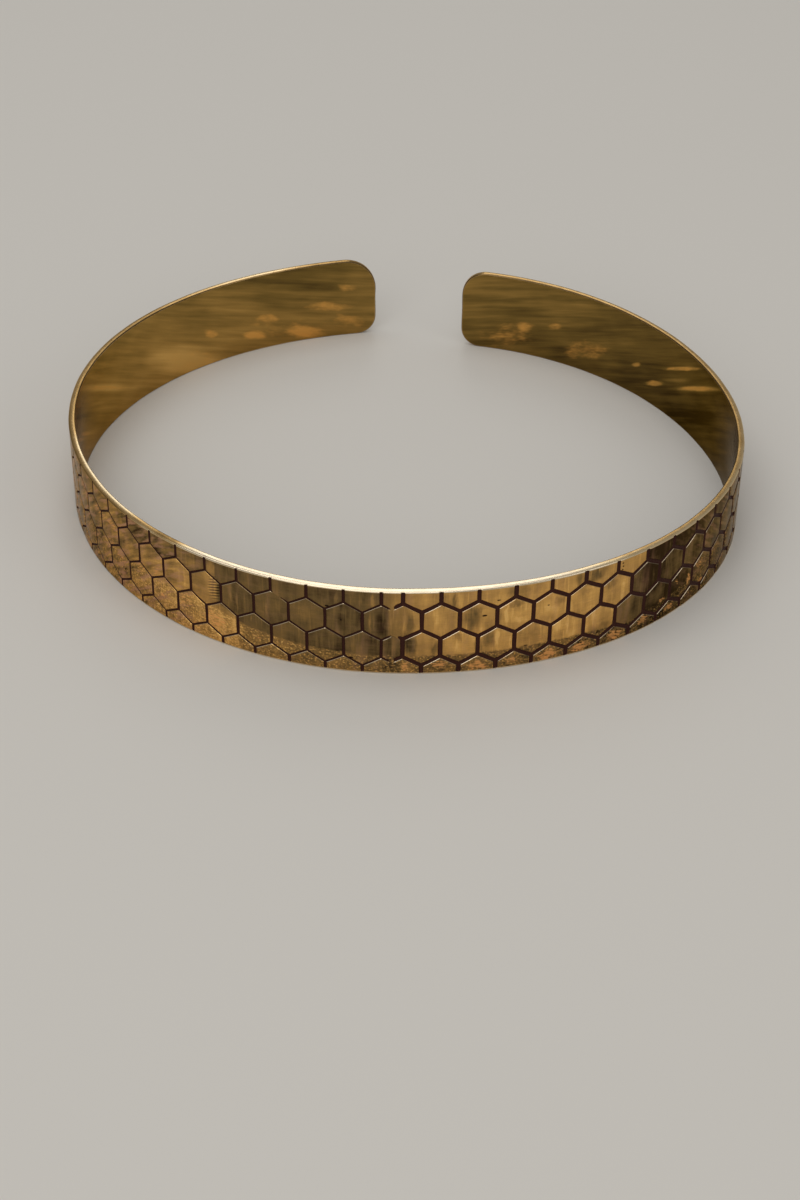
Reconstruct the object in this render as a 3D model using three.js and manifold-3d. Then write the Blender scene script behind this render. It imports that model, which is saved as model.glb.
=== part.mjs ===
// A cuff necklace of aged brass: one strip of sheet metal with rounded ends, engraved with a honeycomb while it
// was flat, then bent by hand to the round of a neck. It is open at the back and lies on its lower edge.
//
// Millimetres. The origin is on the surface that it lies on, under the middle of its box. +Z is up, -Y is the
// front and the opening faces +Y; left and right are those of a viewer who faces the front.
//
// Every shape is first laid out on the flat strip, where x runs along it from the middle of the front (left is
// negative), y up from the lower edge and z outwards from the outer face. bend() then carries it to its place.

import * as THREE from "three";
import { mergeVertices } from "three/addons/utils/BufferGeometryUtils.js";
import Module from "manifold-3d";

// The strip, and its two halves, each measured from the middle of the front to its tip along the outer face.
const STRIP = { width: 18, thickness: 1.3 };
const HALF_LENGTH = { left: 192.1, right: 187.7 };
const SIGN = { left: -1, right: 1 };

// The corners of the two tips are rounded off.
const CORNER_RADIUS = {
  left: { top: 7, bottom: 4.2 },
  right: { top: 5.4, bottom: 4.2 },
};
const CORNER_STEPS = 10;

// How the strip is bent: the radius of the outer face at stations along each half. The curvature runs straight
// between them. It was bent by hand, so the two halves differ.
const BEND = [
  { along: 0, left: 65, right: 85 },
  { along: 40, left: 65.5, right: 66.5 },
  { along: 80, left: 64, right: 50 },
  { along: 120, left: 54.5, right: 67.5 },
  { along: 160, left: 70, right: 61 },
  { along: 200, left: 94.5, right: 59 },
];
const BEND_STEP = 0.5; // how finely the curvature is added up

// The honeycomb: rows of regular hexagons that stand on a corner. The pattern of each half starts from its own
// first column, and the two don't match where they meet in the middle of the front.
const HEX_PITCH = 6.69;
const HEX_SIDE = HEX_PITCH / Math.sqrt(3);
const FIRST_COLUMN = 1.89; // from the middle of the front to each half's first column
const TOP_ROW = { left: 15.14, right: 15.46 }; // height of the row of corners under the cut-off top cells
const GROOVE = { depth: 0.35, width: { left: 0.5, right: 0.75 } };

// The lines that would cross the middle of the front stop short: how much of each is there.
const MIDDLE_STUB = {
  left: { fromA: 0.48, toD: 0.56, fromE: 0.48 },
  right: { fromA: 0.38, toD: 0.22, fromE: 0.38 },
};

// One line of the left half was engraved only at its two ends.
const BROKEN_LINE = { half: "left", column: 3, ends: 0.28 };

// How far cutters stand out of the metal that they cut, how near two points are one, how small a step in a
// surface is left out, and the shortest stretch that the plain strip's outline ends with.
const CLEAR = 0.6;
const SAME_POINT = 1e-4;
const SLIVER = 0.008;
const SHORTEST_STRETCH = 1;

const BRASS = { color: 0x9a7a35, roughness: 0.35, metalness: 1 };

const wasm = await Module();
wasm.setup();

// A closed geometry as a solid, and a solid as a geometry.
function toSolid(geometry) {
  const bare = geometry.clone();
  bare.deleteAttribute("normal");
  bare.deleteAttribute("uv");
  const merged = mergeVertices(bare, SAME_POINT);
  return new wasm.Manifold(
    new wasm.Mesh({
      numProp: 3,
      vertProperties: merged.attributes.position.array,
      triVerts: new Uint32Array(merged.index.array),
    }),
  );
}

function toGeometry(solid) {
  const mesh = solid.getMesh();
  return new THREE.BufferGeometry()
    .setAttribute("position", new THREE.BufferAttribute(mesh.vertProperties, 3))
    .setIndex(new THREE.BufferAttribute(mesh.triVerts, 1));
}

// Many solids as one, and one solid less others, without the needless points that joins and cuts leave.
const joinAll = (solids) => solids.reduce((whole, solid) => whole.add(solid)).asOriginal().simplify(SLIVER);
const cutAll = (blank, cutters) =>
  cutters.reduce((rest, cutter) => rest.subtract(cutter), blank).asOriginal().simplify(SLIVER);

// The plan of one half of the outer face: places and turns at even steps along it, by adding up the curvature.
function layPlan(half) {
  const stations = [{ x: 0, y: 0, turn: 0 }];
  const curvature = (along) => {
    const after = Math.max(1, BEND.findIndex((row) => row.along >= along));
    const [from, to] = [BEND[after - 1], BEND[after]];
    const share = (along - from.along) / (to.along - from.along);
    return THREE.MathUtils.lerp(1 / from[half], 1 / to[half], share);
  };
  const last = BEND[BEND.length - 1].along;
  for (let along = BEND_STEP; along <= last; along += BEND_STEP) {
    const { x, y, turn } = stations[stations.length - 1];
    const step = BEND_STEP * curvature(along - BEND_STEP / 2);
    const heading = turn + step / 2;
    stations.push({
      x: x + SIGN[half] * Math.cos(heading) * BEND_STEP,
      y: y + Math.sin(heading) * BEND_STEP,
      turn: turn + step,
    });
  }
  return stations;
}

const PLAN = { left: layPlan("left"), right: layPlan("right") };

// A point of the flat strip, carried to its place on the bent one, and so every point of a geometry.
function bendPoint(along, up, out) {
  const half = along < 0 ? "left" : "right";
  const steps = Math.abs(along) / BEND_STEP;
  const index = Math.min(Math.floor(steps), PLAN[half].length - 2);
  const [from, to] = [PLAN[half][index], PLAN[half][index + 1]];
  const at = (key) => THREE.MathUtils.lerp(from[key], to[key], steps - index);
  const turn = at("turn");
  return [
    at("x") + SIGN[half] * Math.sin(turn) * out,
    at("y") - Math.cos(turn) * out,
    up,
  ];
}

function bend(geometry) {
  const place = geometry.getAttribute("position");
  for (let index = 0; index < place.count; index++) {
    place.setXYZ(index, ...bendPoint(place.getX(index), place.getY(index), place.getZ(index)));
  }
  return geometry;
}

// The columns of one half: where the upright lines of every second row stand, out past its tip.
function columnsOf(half) {
  const columns = [];
  for (let along = FIRST_COLUMN; along < HALF_LENGTH[half] + HEX_PITCH; along += HEX_PITCH) {
    columns.push(along);
  }
  return columns;
}

// The plain strip: an outline of short straight stretches between the pattern's columns, raised to the width.
function makeBlank() {
  const steps = { left: [], right: [] };
  for (const half of ["left", "right"]) {
    for (const column of columnsOf(half)) steps[half].push(column, column + HEX_PITCH / 2);
    steps[half] = steps[half].filter((along) => along < HALF_LENGTH[half] - SHORTEST_STRETCH);
    steps[half].push(HALF_LENGTH[half]);
  }
  const alongs = [...steps.left.map((along) => -along).reverse(), ...steps.right];
  const face = (out) => alongs.map((along) => new THREE.Vector2(...bendPoint(along, 0, out).slice(0, 2)));
  const outline = new THREE.Shape([...face(0), ...face(-STRIP.thickness).reverse()]);
  const raised = new THREE.ExtrudeGeometry(outline, { depth: STRIP.width, bevelEnabled: false });
  return toSolid(raised);
}

// What is cut away at one corner of a tip: a square less a quarter disc, through the strip.
function makeCorner(half, end) {
  const radius = CORNER_RADIUS[half][end];
  const way = end === "top" ? 1 : -1;
  const centre = new THREE.Vector2(
    SIGN[half] * (HALF_LENGTH[half] - radius),
    end === "top" ? STRIP.width - radius : radius,
  );
  const points = [];
  for (let step = 0; step <= CORNER_STEPS; step++) {
    const angle = (step / CORNER_STEPS) * (Math.PI / 2);
    points.push(
      new THREE.Vector2(
        centre.x + SIGN[half] * radius * Math.sin(angle),
        centre.y + way * radius * Math.cos(angle),
      ),
    );
  }
  const far = radius + CLEAR;
  points.push(
    new THREE.Vector2(centre.x + SIGN[half] * far, centre.y),
    new THREE.Vector2(centre.x + SIGN[half] * far, centre.y + way * far),
    new THREE.Vector2(centre.x, centre.y + way * far),
  );
  const depth = STRIP.thickness + 2 * CLEAR;
  const cutter = new THREE.ExtrudeGeometry(new THREE.Shape(points), { depth, bevelEnabled: false });
  return toSolid(bend(cutter.translate(0, 0, -STRIP.thickness - CLEAR)));
}

// One engraved line, from point to point of the flat strip, as the bar that cuts it.
function makeLine(half, [fromX, fromY], [toX, toY]) {
  const run = new THREE.Vector2(toX - fromX, toY - fromY);
  const bar = new THREE.BoxGeometry(run.length(), GROOVE.width[half], GROOVE.depth + CLEAR);
  bar.rotateZ(run.angle());
  bar.translate((fromX + toX) / 2, (fromY + toY) / 2, (CLEAR - GROOVE.depth) / 2);
  return toSolid(bar);
}

// A stretch of a line, given as shares of it.
function stretch(from, to, start, end) {
  const at = (share) => from.map((value, index) => THREE.MathUtils.lerp(value, to[index], share));
  return [at(start), at(end)];
}

// The cutter of one half's honeycomb. Going down, each column has an upright, then a corner (A) that forks out to
// the next row's uprights (B to C), which meet again (D) over an upright that forks once more (E to F).
function makeHoneycomb(half) {
  const sign = SIGN[half];
  const height = {
    A: TOP_ROW[half],
    B: TOP_ROW[half] - HEX_SIDE / 2,
    C: TOP_ROW[half] - HEX_SIDE * 1.5,
    D: TOP_ROW[half] - HEX_SIDE * 2,
    E: TOP_ROW[half] - HEX_SIDE * 3,
    F: TOP_ROW[half] - HEX_SIDE * 3.5,
  };
  const lines = [];
  columnsOf(half).forEach((column, index) => {
    const on = (key) => [sign * column, height[key]];
    const outward = (key) => [sign * (column + HEX_PITCH / 2), height[key]];
    const inward = (key) => [sign * (column - HEX_PITCH / 2), height[key]];
    lines.push([on("A"), [on("A")[0], STRIP.width + CLEAR]]);
    lines.push([on("A"), outward("B")], [outward("B"), outward("C")], [outward("C"), on("D")]);
    lines.push([on("D"), on("E")], [on("E"), outward("F")]);
    lines.push([outward("F"), [outward("F")[0], -CLEAR]]);
    if (index === 0) {
      const stub = MIDDLE_STUB[half];
      lines.push(stretch(on("A"), inward("B"), 0, stub.fromA));
      lines.push(stretch(on("D"), inward("C"), 0, stub.toD));
      lines.push(stretch(on("E"), inward("F"), 0, stub.fromE));
      return;
    }
    if (half === BROKEN_LINE.half && index === BROKEN_LINE.column) {
      lines.push(stretch(on("A"), inward("B"), 0, BROKEN_LINE.ends));
      lines.push(stretch(inward("B"), on("A"), 0, BROKEN_LINE.ends));
    } else {
      lines.push([on("A"), inward("B")]);
    }
    lines.push([inward("C"), on("D")], [on("E"), inward("F")]);
  });
  const flat = joinAll(lines.map(([from, to]) => makeLine(half, from, to)));
  return toSolid(bend(toGeometry(flat)));
}

function makeBand() {
  const corners = ["left", "right"].flatMap((half) => [makeCorner(half, "top"), makeCorner(half, "bottom")]);
  return cutAll(makeBlank(), [...corners, makeHoneycomb("left"), makeHoneycomb("right")]);
}

// The bent strip, moved so that the origin is under the middle of its box.
const bandGeometry = toGeometry(makeBand());
bandGeometry.computeBoundingBox();
const middle = bandGeometry.boundingBox.getCenter(new THREE.Vector3());
bandGeometry.translate(-middle.x, -middle.y, 0);

const band = new THREE.Mesh(bandGeometry, new THREE.MeshStandardMaterial(BRASS));
band.name = "band";

const necklace = new THREE.Group();
necklace.add(band);

export default necklace;
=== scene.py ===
# %% [markdown]
# # A cuff necklace of engraved brass
#
# The necklace is one strip of sheet brass, 18 mm wide and about 380 mm long. It was engraved with a
# honeycomb while it was flat, its ends were rounded off, and it was bent by hand to the round of a neck. It
# lies on its lower edge and is open at the back.
#
# The solid model gives the sizes and the place. It is loaded here as a fixed frame, and everything that is
# made below is fitted to it.

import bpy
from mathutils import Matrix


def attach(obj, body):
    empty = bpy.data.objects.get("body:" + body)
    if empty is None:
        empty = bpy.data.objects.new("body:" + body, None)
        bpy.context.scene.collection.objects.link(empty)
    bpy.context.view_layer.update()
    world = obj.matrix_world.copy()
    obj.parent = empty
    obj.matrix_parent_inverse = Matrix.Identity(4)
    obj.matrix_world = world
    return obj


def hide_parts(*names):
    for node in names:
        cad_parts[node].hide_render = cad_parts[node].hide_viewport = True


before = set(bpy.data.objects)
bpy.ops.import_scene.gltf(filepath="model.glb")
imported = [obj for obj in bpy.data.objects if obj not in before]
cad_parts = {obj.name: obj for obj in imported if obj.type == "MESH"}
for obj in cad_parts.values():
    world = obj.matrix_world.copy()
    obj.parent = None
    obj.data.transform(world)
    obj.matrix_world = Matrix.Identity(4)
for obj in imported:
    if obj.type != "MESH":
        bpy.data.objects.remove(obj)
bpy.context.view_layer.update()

# %% Tools for numbers and objects
import math

import bmesh
import bpy
import numpy as np
from mathutils import Matrix, Vector

MM = 0.001


def curve(table, values):
    """The height over values of the straight-sided curve through a table's points."""
    return np.interp(values, *np.transpose(table))


def new_object(name, data):
    """A new object of the scene, at the origin, that shows a mesh, a light or a camera."""
    made = bpy.data.objects.new(name, data)
    bpy.context.scene.collection.objects.link(made)
    return made


# %% [markdown]
# ## Colours and nodes
#
# Colours are picked as they look on a screen and written as hex values. Blender's shaders count light, so
# one function turns them linear. A second one adds a node with its settings and its links. With these two a
# material reads as a list of what is done to the surface.


# %% Two helpers for materials
def linear(colour):
    """The hex colour as linear red, green, blue and 1: c becomes ((c + 0.055) / 1.055) to the power 2.4, or
    c / 12.92 where it is nearly black."""
    channels = [int(colour[at : at + 2], 16) / 255 for at in (0, 2, 4)]
    return [c / 12.92 if c < 0.04045 else ((c + 0.055) / 1.055) ** 2.4 for c in channels] + [1]


def add(tree, kind, inputs=(), stops=(), output=0, **settings):
    """Adds a node and returns one of its outputs, or the node if it has none. inputs are values or other
    nodes' outputs, in a row or by socket, and stops are a colour ramp's."""
    node = tree.nodes.new("ShaderNode" + kind)
    for name, value in settings.items():
        setattr(node, name, value)
    for place, (position, colour) in enumerate(stops):
        ramp = node.color_ramp.elements
        stop = ramp[place] if place < len(ramp) else ramp.new(position)
        stop.position, stop.color = position, linear(colour)
    for socket, value in inputs.items() if isinstance(inputs, dict) else enumerate(inputs):
        if isinstance(value, bpy.types.NodeSocket):
            tree.links.new(value, node.inputs[socket])
        elif value is not None:
            node.inputs[socket].default_value = value
    return node.outputs[output] if node.outputs else node


# %% [markdown]
# ## How the strip is bent
#
# A bent strip could follow a Curve modifier, but then its own measures along the strip would be lost. Here
# the bend is a formula instead: the radius is given at stations along each half, the curvature (one over the
# radius) runs straight between them, its sum is the turn, and the sum of the turned steps is the place.
# Every point of the strip is described by how far it is along the strip, how high up it, and how far out of
# the outer face, all in millimetres. The middle of the front is at 0, and left is negative.

# %% The strip and its bend
WIDTH = 18
THICKNESS = 1.3
HALF_LENGTH = (192.1, 187.7)  # left, right
BEND_STATIONS = (0, 40, 80, 120, 160, 200)
BEND_RADII = (
    (65, 65.5, 64, 54.5, 70, 94.5),  # left
    (85, 66.5, 50, 67.5, 61, 59),  # right
)
BEND_STEP = 0.5


def plan(radii, way):
    """Distance, x, y and turn at even steps along one half: turn = sum of step / radius, x = ± sum of
    step · cos(turn), y = sum of step · sin(turn)."""
    distance = np.arange(0, BEND_STATIONS[-1] + BEND_STEP, BEND_STEP)
    curvature = np.interp(distance[1:] - BEND_STEP / 2, BEND_STATIONS, 1 / np.array(radii))
    turn = np.append(0, np.cumsum(curvature * BEND_STEP))
    heading = (turn[1:] + turn[:-1]) / 2
    x = way * np.append(0, np.cumsum(np.cos(heading) * BEND_STEP))
    y = np.append(0, np.cumsum(np.sin(heading) * BEND_STEP))
    return distance, x, y, turn


PLANS = [plan(BEND_RADII[0], -1), plan(BEND_RADII[1], 1)]


def bent(along, up, out):
    """The place of points of the strip: the plan's point, plus out times the outward direction
    (± sin(turn), −cos(turn)), at the height up."""
    x, y, turn = (
        np.where(along < 0, np.interp(-along, *lower), np.interp(along, *upper))
        for lower, upper in (((PLANS[0][0], PLANS[0][k]), (PLANS[1][0], PLANS[1][k])) for k in (1, 2, 3))
    )
    way = np.where(along < 0, -1, 1)
    return np.stack([x + way * np.sin(turn) * out, y - np.cos(turn) * out, up], -1)


print("the plan is", [round(float(np.ptp(np.append(PLANS[0][k], PLANS[1][k]))), 1) for k in (1, 2)], "mm")

# %% [markdown]
# ## The honeycomb
#
# The pattern is rows of regular hexagons that stand on a corner. It was engraved on each half from its own
# first column, and the two halves don't quite match in the middle of the front, where some lines stop short.
# Three zigzag lines run along the strip, and short uprights join them to each other and to the edges, every
# second half pitch. So the whole pattern can be written as a function of two parameters, along and up, which
# gives how deep the metal is cut there. That keeps the lines exact wherever the grid is sampled.

# %% The lines of the honeycomb
PITCH = 6.69
SIDE = PITCH / math.sqrt(3)
HALF_PITCH = PITCH / 2
FIRST_COLUMN = 1.89
TOP_ROW = (15.14, 15.46)  # left, right
LEAN = math.cos(math.radians(30))  # a sloping line's width, measured upright, is its width / LEAN


def phase_of(along, right):
    """How many half pitches a place is beyond the first column of the left or right half."""
    return ((along if right else -along) - FIRST_COLUMN) / HALF_PITCH


def zigzags_of(along, right):
    """Heights of one half's three zigzags: level ± side / 2 · fold, where fold goes 0, 1, 0 with phase."""
    fold = np.abs((phase_of(along, right) + 1) % 2 - 1)
    top = TOP_ROW[right] - SIDE / 2 * fold
    middle = TOP_ROW[right] - SIDE * 2 + SIDE / 2 * fold
    bottom = TOP_ROW[right] - SIDE * 3 - SIDE / 2 * fold
    return np.stack([top, middle, bottom], -1)


def zigzags(along):
    """Heights of the zigzags, highest first: each half's own, and between the first columns both run on until
    they meet, so the upper and lower line are the higher of the two there and the middle one the lower."""
    left, right = zigzags_of(along, 0), zigzags_of(along, 1)
    met = np.maximum(left, right)
    met[..., 1] = np.minimum(left, right)[..., 1]
    own = np.where((along < 0)[..., None], left, right)
    return np.where((np.abs(along) < FIRST_COLUMN)[..., None], met, own)


print("the hexagons are", PITCH, "mm across, and their sides are", round(SIDE, 2), "mm long")

# %% Where the graver was lifted
BROKEN_CELL = -(FIRST_COLUMN + 5.5 * HALF_PITCH)  # the middle of the line that wasn't finished
GAPS = (
    # the start and end of each gap, and the lengths over which the line thins out before and after it
    ((-0.25, 0.3, 0.5, 0.3), (BROKEN_CELL - 1.2, BROKEN_CELL + 0.1, 0.2, 1.6)),  # upper zigzag
    ((0, 1, 0.7, 0.7),),  # middle zigzag
    ((-0.25, 0.3, 0.5, 0.3),),  # lower zigzag
)


def cut_share(along, gaps):
    """1 where a line is cut, 0 in its gaps, and in between √(distance to the gap / taper)."""
    share = np.ones_like(along)
    for start, end, taper_before, taper_after in gaps:
        away = np.maximum((start - along) / taper_before, (along - end) / taper_after)
        share = np.minimum(share, np.sqrt(np.clip(away, 0, 1)))
    return share


# %% [markdown]
# A graver leaves a flat-bottomed line with steep sides, and rubbing the work back with polish rounds the
# lips of the cut. Those lips catch the light as thin bright lines, so they are real geometry here. On the
# left the tool was held lighter: its sloping lines are half as wide as those on the right.

# %% The section of a cut
DEPTH = 0.33
UPRIGHT_WIDTH = (0.56, 0.8)  # left, right
SLOPING_WIDTH = (0.36, 0.78)
WALL_FOOT = 0.66  # share of the half width where the floor ends
WALL_HEAD = 0.92  # share of the half width where the rounded lip starts
LIP_STEPS = (0, 0.06, 0.12, 0.18)  # from the wall's head, in mm
LIP_SHARES = (0.38, 0.14, 0.03, 0)  # of the depth
NARROWEST = 0.6  # of its width, where a line thins out
FLOOR_SHARE = 0.97  # of the depth, where the floor meets the wall
UNEVEN_WIDTH = 0.13  # of a line's width
LIP_HIGHLIGHT = (
    # the painted highlight on the lips that face up, along the strip, first where they rise to the right and
    # then where they fall
    ((-60, 0), (-42, 0), (-32, 0.5), (-28, 1), (16, 1), (22, 0.55), (34, 0.4), (42, 0.8), (60, 1), (80, 0)),
    ((-60, 0), (-42, 0), (-32, 0.05), (-28, 0.12), (-1, 0.2), (1, 0.12), (40, 0.12), (52, 0.3), (80, 0)),
)


def section(distance, half_width):
    """Share of the full depth at a distance from a line's middle: floor, steep wall, then rounded lip."""
    inside = np.interp(distance / half_width, (WALL_FOOT, WALL_HEAD), (FLOOR_SHARE, LIP_SHARES[0]))
    lip = np.interp(distance - WALL_HEAD * half_width, LIP_STEPS, LIP_SHARES)
    return np.where(distance < WALL_HEAD * half_width, inside, lip)


WAVES = ((0.83, 0.37), (1.51, -0.71), (0.47, 1.13))  # turn per mm along and up, in radians


def uneven(along, up, seed):
    """A slow, smooth unevenness between −1 and 1: the mean of the waves' sines, each begun elsewhere."""
    return sum(np.sin(a * along + b * up + seed * (3 + a)) for a, b in WAVES) / len(WAVES)


# %% The depth and the cells as functions of along and up
LIP_TENT = (-0.01, 0, *LIP_STEPS[1:3])  # from the wall's head, where a lip's painted highlight starts, is full and ends
CELL_SEED = 18


def lay_out(along, up):
    """For every point: its half, its phase, and how many zigzags pass above it."""
    right = (along >= 0).astype(int)
    phase = np.where(right, phase_of(along, 1), phase_of(along, 0))
    above = (up[..., None] < zigzags(along)).sum(-1)
    return right, phase, above


def cut_depth(along, up):
    """Share of the full depth: the deepest of the three zigzags and the nearest upright. Uprights stand at
    even phases above the upper and between the middle and lower zigzag, and at odd ones elsewhere."""
    right, phase, above = lay_out(along, up)
    heights = zigzags(along)
    width_share = 1 + UNEVEN_WIDTH * uneven(along, up, seed=1)
    depth = np.zeros_like(along)
    sloping = np.take(SLOPING_WIDTH, right) / 2 * width_share
    for line, gaps in enumerate(GAPS):
        cut = cut_share(along, gaps)
        distance = np.abs(up - heights[..., line]) * LEAN
        depth = np.maximum(depth, cut * section(distance, sloping * np.maximum(cut, NARROWEST)))
    nearest = np.round(phase)
    stands = (nearest >= 0) & ((nearest + above) % 2 == 0)
    upright = np.take(UPRIGHT_WIDTH, right) / 2 * width_share
    return np.maximum(depth, stands * section(np.abs(phase - nearest) * HALF_PITCH, upright))


def upper_lip_highlight(along, up):
    """The painted highlight on the lips that face up, just under a sloping line, and 0 elsewhere: a tent over
    the lip's width, times a share that depends on which way the line slopes."""
    right, phase, _ = lay_out(along, up)
    head = np.take(SLOPING_WIDTH, right) / 2 * WALL_HEAD
    rises = np.floor(phase) % 2 == right
    highlight_share = [curve(table, along) for table in LIP_HIGHLIGHT]
    lip = np.zeros_like(along)
    for line, gaps in enumerate(GAPS):
        below = (zigzags(along)[..., line] - up) * LEAN - head
        tent = np.interp(below, LIP_TENT, (0, 1, 1, 0))
        highlight_here = np.where(rises == (line != 1), *highlight_share)
        lip = np.maximum(lip, tent * cut_share(along, gaps) * highlight_here)
    return lip


def cell_tone(along, up):
    """A number from 0 to 1 for every hexagon, from a table of halves, columns and rows with a fixed seed."""
    right, phase, above = lay_out(along, up)
    column = np.floor((phase + above % 2) / 2).astype(int) + 1
    table = np.random.default_rng(CELL_SEED).random((2, column.max() + 1, len(GAPS) + 1))
    return table[right, np.maximum(column, 0), above]


# %% [markdown]
# ## Where the grid has its lines
#
# A fine even grid would need over a million faces to show a wall a tenth of a millimetre wide. So the grid's
# columns crowd at the uprights and its rows follow the zigzags, with a few steps across each wall and lip
# and wide steps on the plain metal between. Near the tips the rows are held inside the rounded outline.

# %% Columns
EDGE_RADIUS = 0.34  # of the sheet's outer corner, rubbed round
INNER_EDGE_RADIUS = 0.22
CORNER_RADII = ((7, 4.2), (5.4, 4.2))  # top and bottom of the left tip, then of the right one
CORNER_STEPS = 10
PLAIN_STEPS = 2  # columns between two lines' lips
MIDDLE_STEP = 0.16  # between columns where lines end within a cell
BROKEN_REACH = np.arange(-1.4, 1.5, MIDDLE_STEP)  # such columns about the line that wasn't finished
CLOSEST = 0.035  # columns nearer than this become one


def across(half_width):
    """Distances of the grid's lines from a cut's middle, on both sides and in it."""
    steps = np.append(WALL_FOOT * half_width, WALL_HEAD * half_width + np.array(LIP_STEPS))
    return np.concatenate([-steps[::-1], [0], steps])


def columns_of(right):
    """Distances from the middle of the front of one half's columns."""
    steps = across(UPRIGHT_WIDTH[right] / 2)
    plain = np.linspace(steps[-1], HALF_PITCH - steps[-1], PLAIN_STEPS + 2)[1:-1]
    lines = np.arange(FIRST_COLUMN, HALF_LENGTH[right], HALF_PITCH)
    made = [(lines[:, None] + np.append(steps, plain)).ravel()]
    made.append(np.arange(0, FIRST_COLUMN + steps[0], MIDDLE_STEP))
    if not right:
        made.append(-BROKEN_CELL + BROKEN_REACH)
    end = HALF_LENGTH[right] - EDGE_RADIUS
    angles = np.radians(np.linspace(0, 90, CORNER_STEPS, endpoint=False))
    for radius in CORNER_RADII[right]:
        made.append(end - (radius - EDGE_RADIUS) * (1 - np.sin(angles)))
    columns = np.unique(np.round(np.concatenate(made), 4))
    columns = columns[columns < end - CLOSEST]
    apart = np.append(True, np.diff(columns) > CLOSEST)
    return np.append(columns[apart], end)


COLUMNS = np.concatenate([-columns_of(0)[:0:-1], columns_of(1)])
print(len(COLUMNS), "columns")

# %% Rows and the outline
ROWS_BETWEEN = (1, 1, 1, 2)  # plain rows between the lower edge, the three zigzags and the upper edge
CHANGE_OVER = (-1, 1)  # where the left half's line width turns into the right half's


def outline(along):
    """The lowest and highest row of the flat face at each column, and the outline's outward directions. At a
    tip's corner they are on a quarter circle: centre ± √(radius² − distance past the centre²)."""
    right = (along > 0).astype(int)
    way = np.where(right, 1, -1)
    found = []
    for corner, (edge, sign) in enumerate(((WIDTH, 1), (0, -1))):
        radius = np.take(np.array(CORNER_RADII)[:, corner], right)
        flat = radius - EDGE_RADIUS
        past = np.clip(np.abs(along) - (np.take(HALF_LENGTH, right) - radius), 0, flat)
        reach = np.sqrt(flat**2 - past**2)
        normal = np.stack([way * past, sign * reach], -1) / flat[:, None]
        found.append((edge + sign * (reach - radius), normal))
    (top, top_normal), (bottom, bottom_normal) = found
    return bottom, top, bottom_normal, top_normal


def rows_at(along):
    """Heights of the rows at every column: a fixed number of steps about each zigzag and between them."""
    steps = np.stack([across(width / 2) for width in SLOPING_WIDTH], 1)
    share = np.interp(along, CHANGE_OVER, (0, 1))[:, None]
    about = (steps[:, 0] * (1 - share) + steps[:, 1] * share) / LEAN
    bunches = [zigzags(along)[:, line : line + 1] + about for line in (2, 1, 0)]
    edges = [np.full((len(along), 1), height) for height in (EDGE_RADIUS, WIDTH - EDGE_RADIUS)]
    stacked = [edges[0]]
    for bunch, count in zip([*bunches, edges[1]], ROWS_BETWEEN):
        low, high = stacked[-1][:, -1:], bunch[:, :1]
        stacked += [low + (high - low) * np.arange(1, count + 1) / (count + 1), bunch]
    bottom, top, _, _ = outline(along)
    return np.clip(np.hstack(stacked), bottom[:, None], top[:, None])


UP = rows_at(COLUMNS)
ALONG = np.broadcast_to(COLUMNS[:, None], UP.shape)
CUT = cut_depth(ALONG, UP)
COLUMN_COUNT, ROW_COUNT = UP.shape
print("the outer face has", (COLUMN_COUNT - 1) * (ROW_COUNT - 1), "faces")

# %% [markdown]
# ## The edge
#
# All round the strip runs one edge, 1.3 mm thick, with both its corners rubbed round. It is a profile
# carried along a path: the path is the border of the flat face, once round, and the profile goes out over
# the first corner, straight back through the thickness, and in over the second. Where an upright runs off
# the edge it leaves a small notch, which the rubbing has worn down to nothing halfway round the corner.

# %% The border of the flat face
def once_round(table):
    """A table's values along its border: the lowest row, up the last column, the highest row back, and down
    the first column."""
    return np.concatenate([table[:, 0], table[-1, 1:], table[-2::-1, -1], table[0, -2:0:-1]])


BORDER_COLUMN, BORDER_ROW = (once_round(table) for table in np.indices(UP.shape))
print("the border has", len(BORDER_COLUMN), "points")


def border_normals():
    """The outline's outward direction at every point of the border, as (along, up)."""
    _, _, bottom_normal, top_normal = outline(COLUMNS)
    ways = np.sign(COLUMNS[BORDER_COLUMN])
    normals = np.stack([ways, np.zeros_like(ways)], -1)
    for row, given in ((0, bottom_normal), (ROW_COUNT - 1, top_normal)):
        here = BORDER_ROW == row
        normals[here] = given[BORDER_COLUMN[here]]
    return normals


# %% The profile of the edge
OUTER_ANGLES = (0, 22, 45, 67, 90)  # round the outer corner, in degrees
INNER_ANGLES = (60, 30, 0)


def edge_profile():
    """Rows of (outwards, out of the outer face, way gone): a quarter circle, two straight rows and a quarter
    circle back, where a circle's points are radius · sin(angle) and −radius · (1 − cos(angle))."""
    angles = np.radians(OUTER_ANGLES)
    outward = EDGE_RADIUS * np.sin(angles)
    back = -EDGE_RADIUS * (1 - np.cos(angles))
    returning = np.radians(INNER_ANGLES)
    inner_outward = EDGE_RADIUS - INNER_EDGE_RADIUS * (1 - np.sin(returning))
    inner_back = INNER_EDGE_RADIUS * (1 - np.cos(returning)) - THICKNESS
    outward = np.concatenate([outward, np.full(2, EDGE_RADIUS), inner_outward])
    back = np.concatenate([back, [-THICKNESS / 2, INNER_EDGE_RADIUS - THICKNESS], inner_back])
    gone = np.append(0, np.cumsum(np.hypot(np.diff(outward), np.diff(back))))
    return outward, back, gone


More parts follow.
